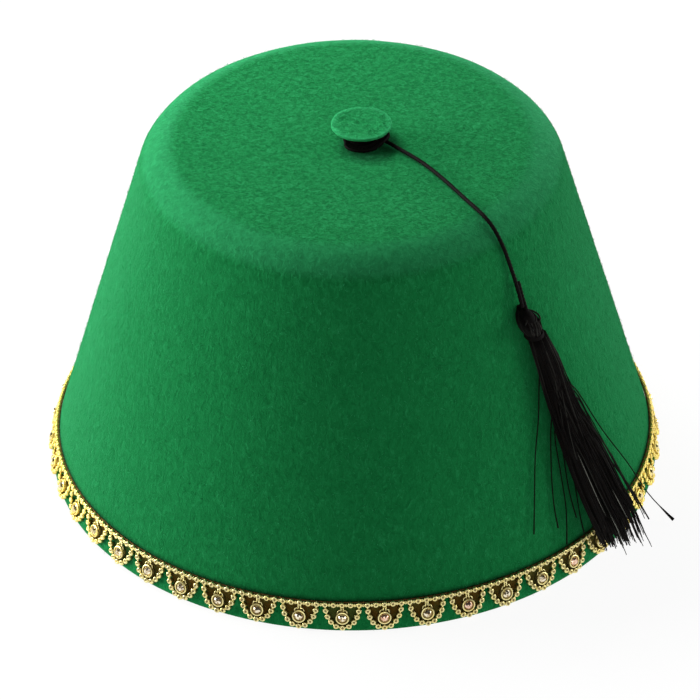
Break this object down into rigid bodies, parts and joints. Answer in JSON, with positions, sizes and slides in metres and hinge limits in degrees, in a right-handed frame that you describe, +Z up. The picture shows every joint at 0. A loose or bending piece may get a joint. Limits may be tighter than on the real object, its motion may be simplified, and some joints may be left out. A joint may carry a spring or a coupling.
{
  "type": "fez hat",
  "caption": "Tapered felt fez with a flat top, a felt button, a cord and tassel down the side, and a gilt scallop trim with small stones round the open rim.",
  "frame": {"origin": "centre of the cut rim, on the surface that the hat stands on", "axes": "+Z up through the middle of the flat top, -Y towards the front, the tassel hangs at the right front between +X and -Y"},
  "size_m": [0.193, 0.193, 0.1192],
  "materials": {
    "felt": "matt brushed felt with short fibres",
    "cord": "soft black thread with a faint silky gloss",
    "gilt": "bright pale gold beads",
    "rhinestone": "clear cut stones backed with foil"
  },
  "bodies": {
    "root": {"crown": "felt", "button": "felt", "cord_winding": "cord", "tassel_cord": "cord", "tassel": "cord", "gold_trim": "gilt"}
  },
  "joints": []
}
